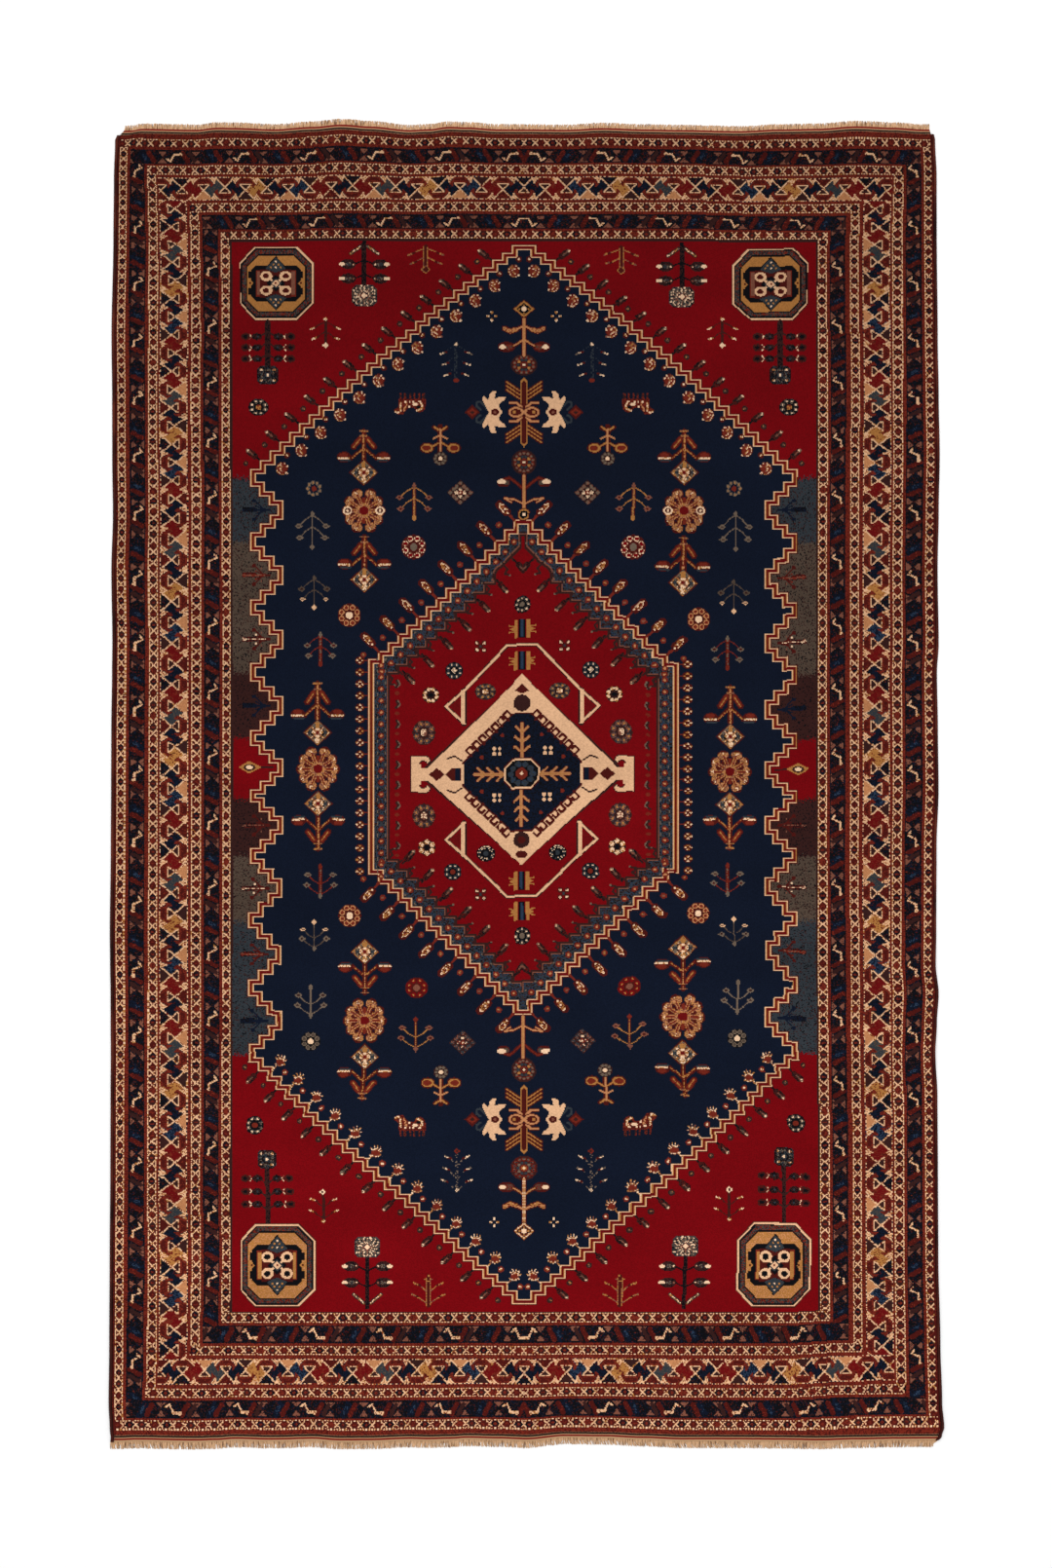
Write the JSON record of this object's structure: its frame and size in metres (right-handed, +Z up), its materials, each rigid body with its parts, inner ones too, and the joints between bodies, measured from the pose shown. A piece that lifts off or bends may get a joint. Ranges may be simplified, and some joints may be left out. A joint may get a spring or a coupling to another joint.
{
  "type": "hand-knotted pile rug",
  "caption": "Rectangular hand-knotted wool pile rug lying flat, with overcast long sides, narrow flat-woven ends and a short cut fringe at each end.",
  "frame": {"origin": "on the floor, under the middle of the rug's own outline", "axes": "+Z up from the floor; +Y along the rug towards its far end, the upper end in the picture; +X across it to the right"},
  "size_m": [1.63, 2.5954, 0.0114],
  "materials": {
    "pile_wool": "cut wool pile",
    "selvedge_wool": "overcast wool yarn",
    "warp_yarn": "undyed plied warp"
  },
  "bodies": {
    "root": {"rug_body": "pile_wool", "selvedge_left": "selvedge_wool", "selvedge_right": "selvedge_wool", "fringe_far": "warp_yarn", "fringe_near": "warp_yarn"}
  },
  "joints": []
}
